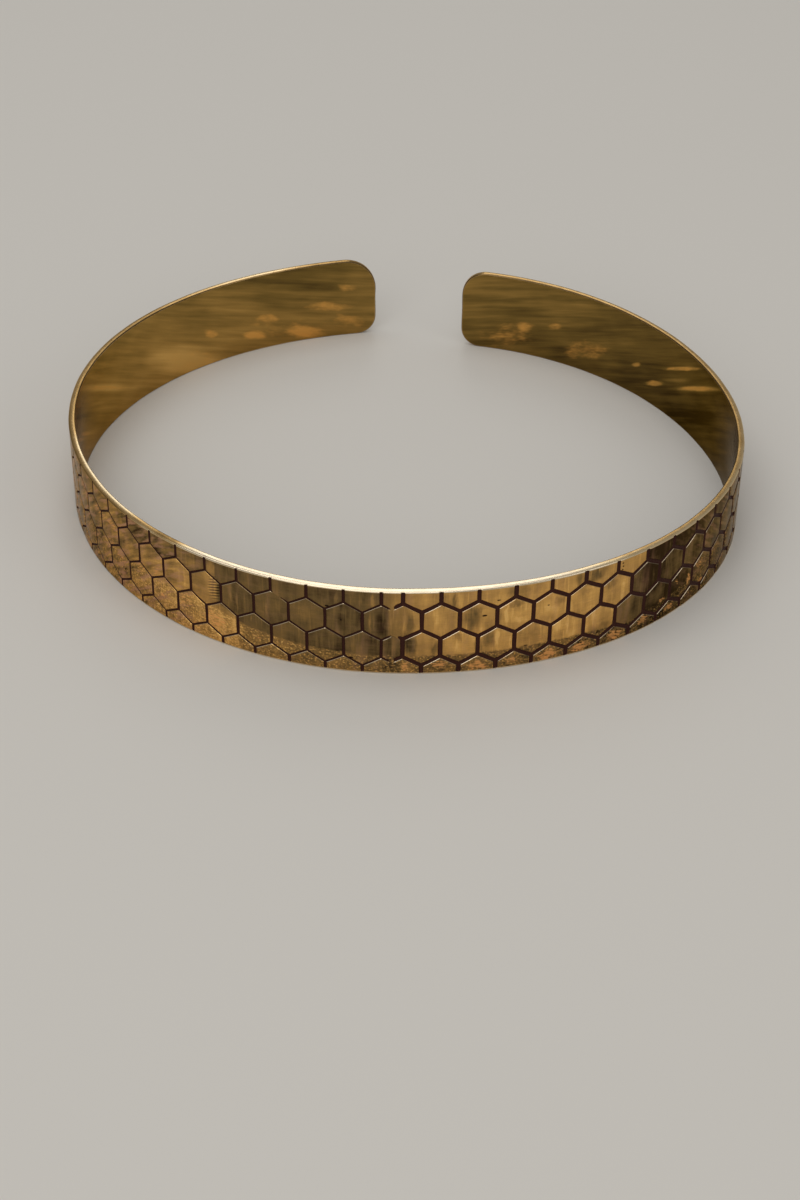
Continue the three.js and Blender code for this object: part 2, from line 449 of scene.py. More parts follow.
EDGE_OUTWARD, EDGE_BACK, EDGE_GONE = edge_profile()
EDGE_MIDDLE = 5  # the profile's row halfway through the thickness
NOTCH_END = 2  # its row where the notches have run out
EDGE_ROWS = len(EDGE_GONE)
NOTCH_LEFT = np.interp(np.arange(1, EDGE_ROWS), (0, NOTCH_END), (1, 0))  # share of a cut's depth, by row
NORMALS = border_normals()
BORDER_ALONG, BORDER_UP, BORDER_CUT = (once_round(table) for table in (ALONG, UP, CUT))
print("the edge has", EDGE_ROWS - 1, "faces across and", len(BORDER_COLUMN), "along")

# %% [markdown]
# ## The inner face
#
# The inside is plain, so it needs only a few rows. It keeps the same columns, and at the two tips its few
# rows are joined to the edge's many points by fans of triangles.

# %% Every point of the strip, as rows of along, up, out and the attributes
INNER_ROWS = 6


def grid_points():
    """Along, up, out and cut of the outer face, then of the edge's rows, then of the inner face."""
    outer = [ALONG, UP, -DEPTH * CUT, CUT]
    notch = BORDER_CUT * NOTCH_LEFT[:, None]
    edge = [
        BORDER_ALONG + NORMALS[:, 0] * EDGE_OUTWARD[1:, None],
        BORDER_UP + NORMALS[:, 1] * EDGE_OUTWARD[1:, None],
        np.minimum(EDGE_BACK[1:, None], -DEPTH * notch),
        notch,
    ]
    bottom, top, _, _ = outline(COLUMNS[1:-1])
    shares = np.linspace(INNER_EDGE_RADIUS, WIDTH - INNER_EDGE_RADIUS, INNER_ROWS)[1:-1]
    inner_up = np.clip(shares, bottom[:, None], top[:, None])
    inner_along = np.broadcast_to(COLUMNS[1:-1, None], inner_up.shape)
    inner = [inner_along, inner_up, np.full(inner_up.shape, -THICKNESS), np.zeros(inner_up.shape)]
    return [np.concatenate([part.ravel() for part in parts]) for parts in zip(outer, edge, inner)]


POINT_ALONG, POINT_UP, POINT_OUT, POINT_CUT = grid_points()
INNER_START = UP.size + (EDGE_ROWS - 1) * len(BORDER_COLUMN)

# %% The faces between them
OUTER, EDGE, INNER = 0, 1, 2  # kinds of face, which are also their material slots


def quads(first, second):
    """Faces between two rows of points that run side by side."""
    return np.stack([first[:-1], first[1:], second[1:], second[:-1]], -1).reshape(-1, 4)


def fans(many, few):
    """Triangles between a row of many points and one of few: each stretch of the first goes to the nearest
    point of the second, and each stretch of the second to the point where that changes."""
    near = np.round(np.linspace(0, len(few) - 1, len(many))).astype(int)
    change = np.flatnonzero(np.diff(near))
    long_side = np.stack([many[:-1], many[1:], few[near[:-1]]], -1)
    short_side = np.stack([many[change + 1], few[near[change + 1]], few[near[change]]], -1)
    return np.vstack([long_side, short_side])


def strip_faces():
    """All quads and triangles, each with its kind. Points are counted as grid_points lays them out."""
    outer = np.arange(UP.size).reshape(UP.shape)
    border = once_round(outer)
    count = len(border)
    edge = np.vstack([border, UP.size + np.arange((EDGE_ROWS - 1) * count).reshape(-1, count)])
    on_border = np.full(UP.shape, -1)
    on_border[BORDER_COLUMN, BORDER_ROW] = edge[-1]
    inner = INNER_START + np.arange((COLUMN_COUNT - 2) * (INNER_ROWS - 2)).reshape(COLUMN_COUNT - 2, -1)
    inner = np.hstack([on_border[1:-1, :1], inner, on_border[1:-1, -1:]])
    ring = np.vstack([edge.T, edge.T[:1]])
    parts = [(np.vstack([quads(outer[:, r], outer[:, r + 1]) for r in range(ROW_COUNT - 1)]), OUTER)]
    parts += [(quads(ring[:, r], ring[:, r + 1])[:, ::-1], EDGE) for r in range(EDGE_ROWS - 1)]
    parts += [(quads(inner[:, r], inner[:, r + 1])[:, ::-1], INNER) for r in range(INNER_ROWS - 1)]
    triangles = [(fans(on_border[0], inner[0]), INNER), (fans(on_border[-1], inner[-1])[:, ::-1], INNER)]
    return parts, triangles


QUADS, TRIANGLES = strip_faces()
print(sum(len(part) for part, _ in QUADS), "quads and", sum(len(part) for part, _ in TRIANGLES), "triangles")

# %% [markdown]
# ## The marks of the hand
#
# The strip was marked out, engraved and bent by hand, so its lines wander a little and the sheet isn't quite
# true. One smooth function moves every point, the same for cut and plain metal, so nothing comes apart.

# %% Small unevenness, and the bend
WANDER = 0.05  # along and up, in mm
BUCKLE = 0.03  # out


def place_points():
    """Every point in metres: along and up wander, least at the edges, out buckles, and the strip is bent.
    Then the middle of its box is put over the origin, as the solid's is."""
    inside = np.sin(np.pi * np.clip(POINT_UP / WIDTH, 0, 1))
    along = POINT_ALONG + WANDER * inside * uneven(POINT_ALONG, POINT_UP, seed=2)
    up = POINT_UP + WANDER * inside * uneven(POINT_ALONG, POINT_UP, seed=5)
    out = POINT_OUT + BUCKLE * uneven(POINT_ALONG / 2, POINT_UP / 2, seed=3)
    places = bent(along, up, out)
    places[:, :2] -= (places[:, :2].min(0) + places[:, :2].max(0)) / 2
    return places * MM


PLACES = place_points()
print("the strip's box is", np.round(np.ptp(PLACES, axis=0) / MM, 2), "mm")

# %% [markdown]
# ## How brightly each part is rubbed, and where light is painted
#
# Old brass turns olive brown, and where hands and cloth rub it, it is golden again. On this piece the left
# of the front is dull, the right of the front is bright, and beyond that it is dark again. That is a slow
# change over the whole strip, so it is worked out here for every point, kept as an attribute, and read by
# the materials. Each hexagon also differs a little from its neighbours, because each was rubbed for itself.

# %% Where the outer face is bright
BRIGHT_LEFT = (-57, -32.7, -32.7, -28.5)  # the bright left ends here, in the rows of hexagons from the top
SLANT_FROM = 9.2  # in the third row that border slants to the right below this height
SLANT = 1.9  # mm along for each mm down
MOST_SLANT = 5  # mm along
BRIGHT_RIGHT = ((-1.5, -0.7, 1.6, 1.6), (48.9, 45.3, 42.2, 44.5))  # start and end of the bright right
DULL_TONE = (
    (-192, 0.3), (-75, 0.3), (-50, 0.24), (-27, 0.21), (-12, 0.18), (-1.5, 0.14), (1.6, 0.16), (42, 0.22),
    (46, 0.16), (49, 0), (54, -0.02), (57, 0.05), (75, 0.08), (188, 0.3),
)  # fmt: skip
BRIGHT_TONE = (
    (-192, 0.38), (-75, 0.38), (-66, 0.44), (-56, 0.52), (-46, 0.6), (-36, 0.6), (-28, 0.54), (-1.5, 0.44),
    (3, 0.6), (6, 0.74), (14, 0.79), (36, 0.81), (42, 0.73), (50, 0.74), (188, 0.4),
)  # fmt: skip
TONE_UP = ((0, -0.02), (3, 0), (12, 0.03), (15, 0), (18, -0.06))
CELL_CONTRAST = 0.1  # between the dullest hexagon and the brightest


def into_bright(along, up):
    """How far in a point is from the border of the bright parts, in mm, and below nought in the dull ones."""
    _, _, above = lay_out(along, up)
    slanted = np.clip((SLANT_FROM - up) * SLANT, 0, -along.clip(None, 0)) * (above == 2)
    left = np.take(BRIGHT_LEFT, above) + np.minimum(slanted, MOST_SLANT) - along
    start, end = (np.take(row, above) for row in BRIGHT_RIGHT)
    return np.maximum(left, np.minimum(along - start, end - along))


# %% The painted reflection along the lower edge
# where the painted reflection along the lower edge ends, in mm up, along the strip
REFLECTED_ZONE_TOP = (
    (-192, 8), (-80, 8), (-36, 8.2), (-29, 6.6), (-24, 5.5), (-18, 4.8), (-5, 4), (35, 4.3), (45, 3.2),
    (58, 5), (70, 8), (188, 8),
)  # fmt: skip
# how much that painted reflection darkens (below nought) or lightens the metal, along the strip
REFLECTED_ZONE_TONE = (
    (-192, -0.05), (-60, -0.05), (-38, 0.02), (-29, 0.19), (-20, 0.23), (-3, 0.14), (-1, 0.02), (1.5, -0.02),
    (7, -0.5), (42, -0.54), (47, -0.02), (58, -0.02), (70, 0), (188, 0),
)  # fmt: skip

# %% The streaks left by polishing, and the painted mottled reflections
# SLIDE is how steeply the streaks run down at places along, and the next table is how much the painted
# mottled reflections show there.
SLIDE = ((0, 0), (32, 0), (48, 0.55), (75, 0.7), (85, 0.58), (130, 0.52), (160, 0.3), (192, 0.1))
MOTTLED_REFLECTION = (
    (-192, 1), (-85, 1.4), (-56, 1.4), (-48, 1), (-42, 1), (-34, 0.1), (44, 0.1), (54, 0), (66, 0.5),
    (188, 1),
)  # fmt: skip


def slid(along):
    """How far the polishing streaks have run down at a distance along: the sum of their slopes so far."""
    distance = np.arange(0, HALF_LENGTH[0] + 1)
    return np.interp(np.abs(along), distance, np.cumsum(curve(SLIDE, distance)))


# %% The tone of the edge, with its painted highlights and shade, and the inner face
# the edge's worn tone along the strip, with painted highlights where it catches the light behind the piece
EDGE_TONE_AND_HIGHLIGHT = (
    (-192, 0.2), (-178, 0.25), (-168, 0.6), (-160, 0.5), (-150, 0.35), (-135, 0.2), (-100, 0.28), (-88, 0.3),
    (-78, 0.34), (-66, 0.42), (-58, 0.42), (-53, 0.3), (-46, 0.1), (-43, 0.1), (-39, 0.7), (-36, 0.9),
    (28, 0.9), (36, 0.65), (45, 0.35), (62, 0.32), (188, 0.3),
)  # fmt: skip
# painted highlight and shade on the edge's rounded outer and inner corners, along the strip
OUTER_CORNER_HIGHLIGHT_AND_SHADE = (
    (-192, 0.35), (-120, 0.35), (-105, 0.2), (-90, -0.3), (-58, -0.4), (-50, 0.35), (188, 0.35),
)  # fmt: skip
INNER_CORNER_HIGHLIGHT_AND_SHADE = (
    (-192, -0.25), (-150, -0.35), (-135, -0.4), (-100, -0.4), (-88, -0.1), (-80, 0.6), (-58, 0.7),
    (-53, 0.1), (-40, -0.2), (30, -0.2), (60, -0.5), (120, -0.5), (160, -0.3), (188, -0.3),
)  # fmt: skip
NEAR_OUTER_CORNER = ((1, 1), (EDGE_MIDDLE, 0))  # by the profile's rows
NEAR_INNER_CORNER = ((EDGE_MIDDLE, 0), (EDGE_MIDDLE + 2, 1))
INSIDE_TONE = (
    (-192, 0.44), (-170, 0.43), (-155, 0.54), (-140, 0.56), (-122, 0.6), (-104, 0.62), (-94, 0.54),
    (-85, 0.46), (0, 0.4), (85, 0.04), (105, 0.06), (125, 0.2), (150, 0.31), (165, 0.38), (188, 0.43),
)  # fmt: skip
INSIDE_TONE_UP = ((0, 0.08), (5, 0.1), (11, 0), (18, -0.08))
INSIDE_WAY = ((-25, 1), (25, -0.8))  # how much of that shows along the strip, and which way up


def tones():
    """The dull and the bright tone of every point, each kind of surface by its own curves. On the edge these
    curves also paint its highlights and shade. The edge's last row is also the inner face's border, so it
    takes the tone of the inside."""
    own = CELL_CONTRAST * (cell_tone(POINT_ALONG, POINT_UP) - 0.5) + curve(TONE_UP, POINT_UP)
    dull, bright = curve(DULL_TONE, POINT_ALONG) + own, curve(BRIGHT_TONE, POINT_ALONG) + own
    edge, inner = slice(UP.size, INNER_START), slice(INNER_START - len(BORDER_COLUMN), None)
    row, along = np.arange(1, EDGE_ROWS)[:, None], POINT_ALONG[edge].reshape(EDGE_ROWS - 1, -1)
    outside = curve(NEAR_OUTER_CORNER, row) * curve(OUTER_CORNER_HIGHLIGHT_AND_SHADE, along)
    inside = curve(NEAR_INNER_CORNER, row) * curve(INNER_CORNER_HIGHLIGHT_AND_SHADE, along)
    dull[edge] = (curve(EDGE_TONE_AND_HIGHLIGHT, along) + outside + inside).ravel()
    along, up = POINT_ALONG[inner], POINT_UP[inner]
    dull[inner] = curve(INSIDE_TONE, along) + curve(INSIDE_WAY, along) * curve(INSIDE_TONE_UP, up)
    return dull, bright


DULL, BRIGHT = tones()
print("the tones run from", round(float(DULL.min()), 2), "to", round(float(BRIGHT.max()), 2))

# %% What the points carry
ATTRIBUTES = {
    "cut": POINT_CUT,
    # the painted highlight on the lips that face up
    "lip": upper_lip_highlight(POINT_ALONG, POINT_UP),
    "cell": cell_tone(POINT_ALONG, POINT_UP),
    "dull": DULL,
    "bright": BRIGHT,
    "into_bright": into_bright(POINT_ALONG, POINT_UP),
    "above_reflected_zone": POINT_UP - curve(REFLECTED_ZONE_TOP, POINT_ALONG),
    "reflected_zone_tone": curve(REFLECTED_ZONE_TONE, POINT_ALONG),
    "streak_height": (POINT_UP + slid(POINT_ALONG)) * MM,
    "mottled_reflection": curve(MOTTLED_REFLECTION, POINT_ALONG),
}
print("the points carry", ", ".join(ATTRIBUTES))

# %% [markdown]
# ## The mesh
#
# The faces are given to Blender with their kind as material slot. The strip gets two flat maps of itself:
# one in real units, along and up, which the patterns follow, and one that lays the strip out in six lengths
# for each side without overlaps, which a bake can use.

# %% Flat maps
LENGTHS = 6
CUT_LENGTH = sum(HALF_LENGTH) / LENGTHS
BAKE_MARGIN = np.array([2, 1.8])  # on each side of a length, in mm
BAKE_CELL = np.array([CUT_LENGTH, WIDTH]) + 2 * BAKE_MARGIN
BAKE_SPAN = 2 * BAKE_CELL[0]


def flat_places(side):
    """Where every point lies on the strip laid flat, seen from the outer (0) or inner (1) face. The edge is
    folded out round it: border + outward direction · way gone from that face."""
    flat = np.stack([POINT_ALONG, POINT_UP], -1)
    gone = EDGE_GONE[1:] if side == 0 else EDGE_GONE[-1] - EDGE_GONE[1:]
    border = np.stack([BORDER_ALONG, BORDER_UP], -1)
    folded = border + NORMALS * gone[:, None, None]
    flat[UP.size : UP.size + folded.shape[0] * folded.shape[1]] = folded.reshape(-1, 2)
    return flat


def bake_corners(corners, side):
    """The bake map of faces of one side: flat place, less the start of the face's length, in that length's
    own cell of a board of two columns."""
    flat = flat_places(side)[corners]
    length = np.floor((flat[..., 0].mean(1) + HALF_LENGTH[0]) / CUT_LENGTH).clip(0, LENGTHS - 1)
    start = np.stack([length * CUT_LENGTH - HALF_LENGTH[0], np.zeros_like(length)], -1) - BAKE_MARGIN
    cell = np.stack([length % 2, length // 2 + side * LENGTHS // 2], -1) * BAKE_CELL
    return (flat - start[:, None] + cell[:, None]) / BAKE_SPAN


# %% Build the band
SAME_POINT = 0.002  # points this near are merged, in mm


def build_band():
    """The strip as one mesh: points, faces, maps and attributes, with points that fell together merged."""
    mesh = bpy.data.meshes.new("band_brass")
    groups = [*QUADS, *TRIANGLES]
    faces = [face for part, _ in groups for face in part.tolist()]
    mesh.from_pydata(PLACES, [], faces)
    slots = np.concatenate([np.full(len(part), kind) for part, kind in groups])
    mesh.polygons.foreach_set("material_index", slots)
    mesh.polygons.foreach_set("use_smooth", np.ones(len(slots), bool))

    corners = np.concatenate([part.ravel() for part, _ in groups])
    strip_map = np.stack([POINT_ALONG, POINT_UP], -1)[corners]
    mesh.uv_layers.new(name="strip").uv.foreach_set("vector", (strip_map * MM).ravel())
    sides = [0] + [int(row >= EDGE_MIDDLE) for row in range(EDGE_ROWS - 1)]
    sides += [1] * (len(groups) - len(sides))
    bake_map = np.concatenate([
        bake_corners(part, side).reshape(-1, 2) for (part, _), side in zip(groups, sides)
    ])  # fmt: skip
    mesh.uv_layers.new(name="OFBake").uv.foreach_set("vector", bake_map.ravel())
    for name, values in ATTRIBUTES.items():
        mesh.attributes.new(name, "FLOAT", "POINT").data.foreach_set("value", values.astype(np.float32))

    shape = bmesh.new()
    shape.from_mesh(mesh)
    bmesh.ops.remove_doubles(shape, verts=shape.verts, dist=SAME_POINT * MM)
    open_edges = sum(not edge.is_manifold for edge in shape.edges)
    volume = shape.calc_volume(signed=True) / MM**3
    shape.to_mesh(mesh)
    shape.free()
    triangles = sum(len(face.vertices) - 2 for face in mesh.polygons)
    print("the band has", triangles, "triangles,", open_edges, "open edges and", round(volume), "cubic mm")
    return mesh


band = new_object("band_brass", build_band())

# %% [markdown]
# ## The engraved face: brass, blackened and rubbed back
#
# Brass is about two thirds copper and one third zinc, a yellow metal. Here it was dipped to darken it and
# then rubbed, so the cuts stay black brown while the hexagons between them come up golden or olive. The soft
# upright streaks and mottles on the hexagons are painted reflections, and so is the speckled zone along the
# lower edge with its orange spots. All patterns follow the strip's own map, which is in metres, so a
# pattern's scale is one over its real size. The real scratches are finer than a tenth of a millimetre, too
# fine to show, so they are drawn two or three times as coarse.
#
# Below, a row of numbers named a grain is a noise: its size along and up in millimetres, its detail and its
# seed, and its weight if it is layered on others. Where a number is stretched by a Map Range node, a row
# gives its start and end, and what these two become if that isn't 0 and 1.

# %% What the metal's trees share
MIX_FACTOR, MIX_A, MIX_B, MIX_RESULT = 0, 6, 7, 2  # the colour sockets of a Mix node
AS_NUMBER = 2  # the output of an Attribute node
SMOOTH = {"interpolation_type": "SMOOTHSTEP"}  # for a Map Range that starts and ends softly
OUTER_ASLANT = (0.75, 0.66, 0.53, 1)  # the colour each face has left when it is seen aslant
INNER_ASLANT = (0.68, 0.58, 0.46, 1)
STAIN_CORE = 0.25  # share of a stain's half size within which it doesn't fade
NOISE_ROUGHNESS = 0.55  # how strongly the finer layers of a noise show


def new_tree(name):
    """A material with an empty node tree."""
    material = bpy.data.materials.new(name)
    material.use_nodes = True
    material.node_tree.nodes.clear()
    return material, material.node_tree


def strip_tree(name, attributes):
    """A material with an empty tree, the place on the strip's map, and the attributes that it reads."""
    material, tree = new_tree(name)
    place = add(tree, "UVMap", uv_map="strip")
    read = {known: add(tree, "Attribute", attribute_name=known, output=AS_NUMBER) for known in attributes}
    return material, tree, place, read


def across_streaks(tree, place, read):
    """The place with its height measured across the polishing streaks, so that patterns follow them."""
    along = add(tree, "SeparateXYZ", (place,))
    return add(tree, "CombineXYZ", (along, read["streak_height"], 0))


def grain(tree, place, size_along, size_up, detail=2, seed=0):
    """Noise whose grain is size_along by size_up millimetres at a place on the strip, about 0.5 on average.
    seed is a number, or an attribute that gives each hexagon a pattern of its own."""
    scale = (1 / (size_along * MM), 1 / (size_up * MM), 1)
    place = add(tree, "Mapping", {"Vector": place, "Scale": scale})
    inputs = {"Vector": place, "W": seed, "Scale": 1, "Detail": detail, "Roughness": NOISE_ROUGHNESS}
    return add(tree, "TexNoise", inputs, noise_dimensions="4D")


def layered(tree, share, place, *grains):
    """share plus (noise − 0.5) · weight for each row of grains."""
    for *kind, weight in grains:
        part = (grain(tree, place, *kind), weight, -weight / 2)
        part = add(tree, "Math", part, operation="MULTIPLY_ADD")
        share = add(tree, "Math", (share, part), operation="ADD")
    return share


def stained(tree, place, share, stains):
    """share plus each stain's change, which fades smoothly from its middle to its oval rim: the distance from
    the middle is the length of (place − middle) / half size."""
    for along, up, half_length, half_height, change in stains:
        scale = (1 / (half_length * MM), 1 / (half_height * MM), 0)
        start = (-along / half_length, -up / half_height, 0)
        away = add(tree, "VectorMath", (place, scale, start), operation="MULTIPLY_ADD")
        away = add(tree, "VectorMath", (away,), output=1, operation="LENGTH")
        inside = add(tree, "MapRange", (away, 1, STAIN_CORE, 0, change), **SMOOTH)
        share = add(tree, "Math", (share, inside), operation="ADD")
    return share


# %% Stains of the engraved face
STAINS = (
    # along, up, half length and half height in mm, and the change: darker below nought, brighter above
    (-33.9, 16.2, 1.3, 2.8, 0.42), (-33.2, 11.8, 1.3, 3.2, -0.14), (-28.6, 10.8, 0.35, 2.4, 0.14),
    (-29.9, 11.2, 0.4, 1.6, 0.14), (-22.8, 10.4, 0.4, 1.9, 0.14), (-15.5, 12, 1.2, 3.2, 0.08),
    (-9.8, 15.8, 0.45, 2, 0.2), (-7.2, 15.8, 0.3, 2, 0.1), (-3.4, 15.8, 0.45, 2.2, 0.34),
    (-5.6, 15.6, 0.5, 2, 0.14), (-3.8, 11.3, 0.4, 3, 0.26), (-2.1, 11.2, 1.3, 3.2, -0.14),
    (-9, 10.6, 2, 3.4, -0.06), (-5.6, 6.8, 1.5, 2.6, -0.05), (-27.5, 10.2, 0.9, 2.2, -0.05),
    (-25.9, 7.6, 0.4, 1, 0.2), (3.3, 10.9, 1, 2.8, -0.32), (2, 10.5, 0.5, 2.6, 0.16),
    (14.3, 11.6, 2.2, 3.8, -0.4), (14.8, 13.6, 1.8, 1.2, -0.16), (17.3, 10.4, 1.8, 2.2, -0.16),
    (3.2, 6.6, 2, 3.4, -0.5), (15.4, 5.8, 1.1, 2.2, -0.28), (7.8, 5.4, 0.9, 2.2, -0.4),
    (11.7, 7.8, 1.2, 1.5, -0.3), (17.2, 7.4, 1.5, 2.8, -0.36), (18.7, 7, 0.5, 2.6, 0.2),
    (21.9, 13.9, 1.9, 1.1, -0.36), (20.3, 11.5, 0.4, 2.8, 0.2), (18.8, 12, 1, 2.4, -0.2),
    (22.6, 10.6, 2.2, 0.9, 0.14), (28.6, 11.6, 2.6, 2.4, 0.16), (30.2, 12.9, 1.3, 1.4, -0.26),
    (25.4, 6.4, 3.6, 3, -0.16), (32, 7, 0.4, 3, 0.18), (31.9, 11.2, 0.9, 2.4, 0.16),
    (30.3, 5.2, 1.4, 1.6, -0.14), (10.8, 16, 0.5, 2.1, -0.3), (12.2, 16, 0.6, 1.9, 0.14),
    (8.9, 15.6, 0.7, 2.2, -0.14), (21.3, 16.6, 1.3, 1.8, -0.3), (24.9, 16.4, 2.6, 2.4, -0.16),
    (33.9, 16.2, 0.8, 2.2, -0.2), (37.4, 16.2, 1.5, 1.9, -0.34), (37, 17, 6, 2.8, -0.2),
    (39.4, 16, 0.4, 1.8, 0.08), (40.6, 13.2, 2.2, 1.3, -0.24), (36, 13.6, 2.4, 0.9, -0.14),
    (43.2, 11, 0.6, 3, 0.14), (39, 4.4, 3.2, 1.4, -0.26), (46.6, 7, 1.8, 3.4, -0.08),
    (51.4, 11.4, 1.4, 4.2, -0.06), (51.6, 6.6, 2.8, 3.2, 0.14), (58.5, 11.5, 1, 4, 0.06),
    (-62, 16, 3.4, 2.4, 0.12), (-47.8, 14.4, 3.4, 1.4, -0.1), (-38.2, 15.6, 2.2, 2.6, 0.13),
    (-68, 9, 4, 3.6, -0.18), (-45.8, 4.8, 1.6, 1.4, -0.16), (-47.4, 7.2, 1.2, 1.2, 0.16),
    (-54.5, 10.5, 2.6, 2.6, 0.08), (-41.5, 9, 4, 3, 0.1),
)  # fmt: skip
ORANGE_REFLECTION_SPOTS = (
    # the same, for painted orange reflections, and how surely each shows
    (-33.5, 4.8, 4.6, 4, 1.6), (-24.8, 4.2, 2.4, 1.3, 1.3), (-18.4, 4.3, 1.6, 1, 1.1),
    (-45.9, 5, 0.7, 0.6, 2.2), (-52, 8.6, 3.4, 2.8, 1.3), (-47, 9.6, 2.6, 2, 1.4), (-40, 6.6, 3.4, 3.4, 1.3),
    (-38, 2.2, 2.8, 2, 1.3), (-61, 8.6, 4, 1.6, 1.4), (-67.5, 6.4, 2.6, 2, 1.4), (-58, 6.6, 3.4, 2, 1.3),
    (-66, 13, 7, 1.6, 1.3), (-60, 12.6, 4, 2, 1.2), (-54, 3.4, 4, 2, 1.1), (-12, 2.4, 4, 1.4, 0.9),
    (2.3, 2, 1.5, 1.5, 1.8), (8.3, 2.1, 2.4, 1.4, 1.7), (15.3, 1.3, 3, 1.5, 1.9), (21.7, 1.5, 2.2, 1.5, 1.7),
    (28.6, 1.4, 3.4, 1.6, 2), (34.8, 1.5, 3.2, 1.7, 1.9), (42.2, 1.6, 3, 2, 1.8), (48.8, 2.4, 2.6, 1.8, 1.6),
    (55.4, 2, 2.8, 1.3, 1.7), (53.4, 4.6, 1.8, 1.1, 1.6), (61, 5.6, 1.2, 1.7, 2), (65.2, 3, 3, 1, 1.7),
    (64.6, 7.2, 3, 1.7, 1.5), (57.3, 6.6, 0.9, 1.2, 1.4), (23, 11.4, 1.6, 1, 1.1), (26.8, 6, 1.1, 1.9, 1.2),
    (34, 8, 1.9, 1.6, 1.1),
)  # fmt: skip
PITS = (
    # the same, for pits and dashes, and how dark they are
    (16.3, 12.2, 0.62, 0.26, 1), (-9, 11.3, 0.24, 0.24, 1), (28.1, 12.4, 0.3, 0.18, 0.7),
    (18.8, 15.2, 0.5, 0.18, 0.8), (24.1, 4.4, 0.6, 0.16, 0.7), (42.9, 17.1, 0.24, 0.24, 0.8),
    (43, 16.4, 0.24, 0.24, 0.8), (42.9, 15.7, 0.22, 0.22, 0.8), (-11.5, 14, 0.5, 0.28, 1),
    (18.8, 2.4, 0.4, 0.5, 1), (-7.3, 3.2, 0.6, 0.3, 1), (30.6, 2, 0.6, 0.16, 0.8),
)  # fmt: skip
CHATTER = (-33.5, 11.8, 1.6, 3.6, 0.42)  # the same, for a place where the polishing tool skipped

# %% Where the rubbing isn't even
CHATTER_SPACING = 0.6  # mm from one skip to the next
CHATTER_SLOPE = -0.3
FRAYS = (1.2, 0.3)  # how many there are to each mm along and up
WOBBLE = np.array((1.8, 2.4, 0)) * MM  # how far a stain's rim wanders


def chattered(tree, place):
    """Fine lines where the tool skipped: their share there times sin(turns · (up + slope · along))."""
    turns = math.tau / (CHATTER_SPACING * MM)
    wave = (place, (CHATTER_SLOPE * turns, turns, 0))
    wave = add(tree, "VectorMath", wave, output=1, operation="DOT_PRODUCT")
    wave = add(tree, "Math", (wave,), operation="SINE")
    return add(tree, "Math", (wave, stained(tree, place, 0, [CHATTER])), operation="MULTIPLY")


def wandered(tree, place):
    """The place plus (noise − 0.5) · wobble, a noise of upright streaks, which frays the rims of stains."""
    fray = add(tree, "Mapping", {"Vector": place, "Scale": (FRAYS[0] / MM, FRAYS[1] / MM, 1)})
    fray = add(tree, "TexNoise", {"Vector": fray, "Scale": 1, "Detail": 3}, output=1)
    wander = add(tree, "VectorMath", (fray, WOBBLE, -WOBBLE / 2), operation="MULTIPLY_ADD")
    return add(tree, "VectorMath", (place, wander), operation="ADD")


# %% How brightly each place is rubbed
RIM_GRAIN = (0.5, 6, 2, 0, 0.8)  # of the border between bright and dull
BRIGHT_RIM = (-0.3, 0.3)
THIN_GRAIN = (0.55, 8, 2)
THIN_STREAKS = (0.54, 0.72, 0, 0.12)
CONTRAST = (0.15, 0.8, 0.85, 1.5)  # more where it is bright
MOTTLE_GRAIN = (5, 1.3, 4, 0, 1.6)


def rubbed(tree, read, place, frayed, flow, own):
    """0 where the brass is dark and 1 where it is golden: dull or bright tone, painted reflections as upright
    streaks of each hexagon's own and as mottles that follow the polishing streaks, and stains."""
    rim = layered(tree, read["into_bright"], place, RIM_GRAIN)
    inside = add(tree, "MapRange", (rim, *BRIGHT_RIM), **SMOOTH)
    tone = add(tree, "Mix", (inside, None, read["dull"], read["bright"]))
    # The thin and broad upright streaks are painted reflections. The level hairlines are brush marks.
    thin = add(tree, "MapRange", (grain(tree, place, *THIN_GRAIN, own), *THIN_STREAKS), **SMOOTH)
    reflected_streaks = (2, 16, 1, own, 0.4)
    patches = (3, 3.5, 2, 0, 0.4)
    hairlines = (0.25, 3, 2, own, 0.14)
    level_hairlines = (2.5, 0.22, 1, 0, 0.14)
    varied = layered(tree, thin, place, reflected_streaks, patches, hairlines, level_hairlines)
    contrast = add(tree, "MapRange", (tone, *CONTRAST))
    varied = add(tree, "Math", (varied, contrast), operation="MULTIPLY")
    mottled_reflections = layered(tree, 0, flow, MOTTLE_GRAIN)
    varied = add(tree, "Math", (mottled_reflections, read["mottled_reflection"], varied), operation="MULTIPLY_ADD")
    share = add(tree, "Math", (tone, varied), operation="ADD")
    share = add(tree, "Math", (share, chattered(tree, place)), operation="ADD")
    return stained(tree, frayed, share, STAINS)


# %% The engraved face
RUBBED_COLOURS = (
    (0, "38291a"), (0.2, "7c6540"), (0.5, "ab864f"), (0.75, "d4a560"), (0.9, "ecb96a"), (1, "ffcd7c"),
)  # fmt: skip
# the colour of the painted reflection in the redder streaks and mottles
WARM_REFLECTION = "cf9c7c"
# the orange of the painted reflections in the spots
REFLECTED_ORANGE = "ffba72"
